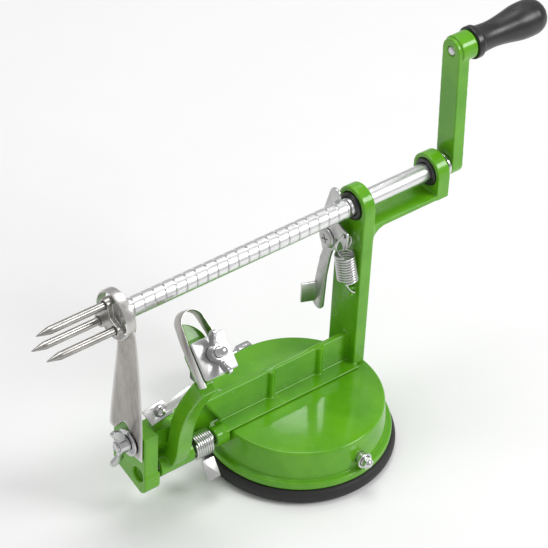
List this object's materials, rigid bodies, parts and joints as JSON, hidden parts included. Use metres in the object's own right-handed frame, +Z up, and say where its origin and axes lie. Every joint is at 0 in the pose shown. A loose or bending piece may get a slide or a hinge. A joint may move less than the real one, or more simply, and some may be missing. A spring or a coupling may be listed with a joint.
{
  "type": "apple peeler corer",
  "caption": "Hand-cranked apple peeler, corer and slicer with a screw feed, sprung peeling arm and a lever-clamped suction base.",
  "frame": {"origin": "centre of the suction pad's underside, on the work surface", "axes": "+Z up; +X along the feed screw towards the crank; the fork is at -X; the peeling arm swings about an axis along X"},
  "size_m": [0.3145, 0.1114, 0.2108],
  "materials": {
    "green_enamel": "gloss green enamel on cast metal",
    "black_rubber": "satin moulded rubber",
    "black_plastic": "satin moulded plastic",
    "plated_steel": "bright plating",
    "blade_steel": "satin ground steel",
    "spring_steel": "drawn bright steel"
  },
  "bodies": {
    "base": {"base_drum": "green_enamel", "frame_casting": "green_enamel", "suction_pad": "black_rubber", "front_frame_screw": "spring_steel", "rear_frame_screw": "spring_steel", "front_bush": "black_plastic", "rear_bush": "black_plastic", "corer_blade": "blade_steel", "corer_stud": "plated_steel", "corer_washer": "plated_steel", "arm_axle": "spring_steel", "arm_spring": "spring_steel", "spring_tab": "plated_steel", "latch_pivot_screw": "plated_steel", "latch_spring": "spring_steel", "hold_latch_screw": "plated_steel", "hold_latch_spring": "spring_steel"},
    "thrust_carrier": {"crank_washer": "plated_steel"},
    "feed": {"feed_screw": "plated_steel", "fork_hub": "blade_steel", "upper_prong": "blade_steel", "near_prong": "blade_steel", "far_prong": "blade_steel", "crank_arm": "green_enamel", "crank_screw": "plated_steel", "handle_spindle": "plated_steel"},
    "handle": {"crank_handle": "black_plastic"},
    "thread_latch": {"latch_plate": "plated_steel"},
    "arm": {"peel_arm": "green_enamel", "peeler_blade": "blade_steel", "clamp_plate": "plated_steel", "clamp_bolt": "plated_steel"},
    "clamp_nut": {"clamp_wing_nut": "plated_steel"},
    "corer_nut": {"corer_wing_nut": "plated_steel"},
    "hold_back": {"hold_latch": "plated_steel"},
    "lever": {"cam_shaft": "spring_steel", "suction_lever": "plated_steel", "lever_grip": "black_plastic", "cap_nut": "plated_steel", "cam_washer": "plated_steel"},
    "stem": {"pad_stem": "spring_steel"}
  },
  "joints": [
    {"name": "feed_travel", "type": "slide", "parent": "base", "child": "thrust_carrier", "axis": [1, 0, 0], "range_m": [0, 0.13335]},
    {"name": "crank_turn", "type": "hinge", "parent": "thrust_carrier", "child": "feed", "pos_m": [0, 0.01103, 0.1314], "axis": [1, 0, 0], "range_deg": [0, 7560]},
    {"name": "handle_spin", "type": "hinge", "parent": "feed", "child": "handle", "pos_m": [0.1059, 0.014, 0.201], "axis": [1, 0, 0], "continuous": true},
    {"name": "latch_release", "type": "hinge", "parent": "base", "child": "thread_latch", "pos_m": [0.0306, 0.0207, 0.107], "axis": [1, 0, 0], "range_deg": [-10, 0], "stiffness_Nm_per_rad": 0.6, "springref_deg": 5.73, "deforming": ["latch_spring"]},
    {"name": "arm_swing", "type": "hinge", "parent": "base", "child": "arm", "pos_m": [-0.075, 0.0015, 0.027], "axis": [1, 0, 0], "range_deg": [-4, 50], "stiffness_Nm_per_rad": 0.3, "springref_deg": -34.38, "deforming": ["arm_spring"]},
    {"name": "clamp_nut_spin", "type": "hinge", "parent": "arm", "child": "clamp_nut", "pos_m": [-0.075, -0.02291, 0.11289], "axis": [0, -0.7314, 0.682], "continuous": true},
    {"name": "corer_nut_spin", "type": "hinge", "parent": "base", "child": "corer_nut", "pos_m": [-0.10515, 0.0075, 0.046], "axis": [1, 0, 0], "continuous": true},
    {"name": "hold_latch_swing", "type": "hinge", "parent": "base", "child": "hold_back", "pos_m": [-0.085, 0.0065, 0.057], "axis": [-0.2419, -0.3319, 0.9118], "range_deg": [0, 40], "stiffness_Nm_per_rad": 0.02, "springref_deg": -28.65, "deforming": ["hold_latch_spring"]},
    {"name": "lever_turn", "type": "hinge", "parent": "base", "child": "lever", "pos_m": [0.005, 0, 0.018], "axis": [0, 1, 0], "range_deg": [0, 90]},
    {"name": "pad_lift", "type": "slide", "parent": "base", "child": "stem", "axis": [0, 0, 1], "range_m": [0, 0.003]}
  ],
  "couplings": [
    {"joint": "feed_travel", "follows": "crank_turn", "m_per_rad": 0.0010106},
    {"joint": "lever_turn", "follows": "pad_lift", "rad_per_m": 523.6}
  ]
}
